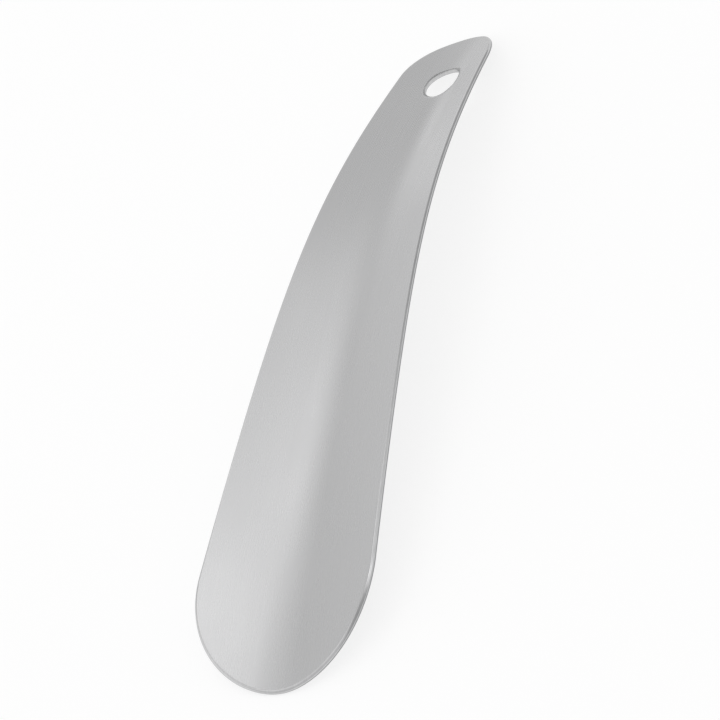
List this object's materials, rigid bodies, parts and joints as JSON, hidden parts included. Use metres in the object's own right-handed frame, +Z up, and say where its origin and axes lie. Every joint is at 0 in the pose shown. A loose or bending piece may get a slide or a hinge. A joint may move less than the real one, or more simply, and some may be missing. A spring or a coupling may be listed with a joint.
{
  "type": "shoehorn",
  "caption": "Short pressed-steel shoehorn: a tapered trough-shaped blade that bends back into a narrow handle with a hanging hole near its rounded end.",
  "frame": {"origin": "bottom centre of the bounding box, on the surface that the shoehorn lies on", "axes": "+Y from the blade tip to the handle end, +Z up out of the open side of the trough, +X to the right when looking along +Y; it rests on the backs of its two ends"},
  "size_m": [0.0462, 0.1582, 0.014],
  "materials": {
    "satin_steel": "lengthwise brushed satin faces, rounded and polished cut edges"
  },
  "bodies": {
    "root": {"shoehorn_blade": "satin_steel"}
  },
  "joints": []
}
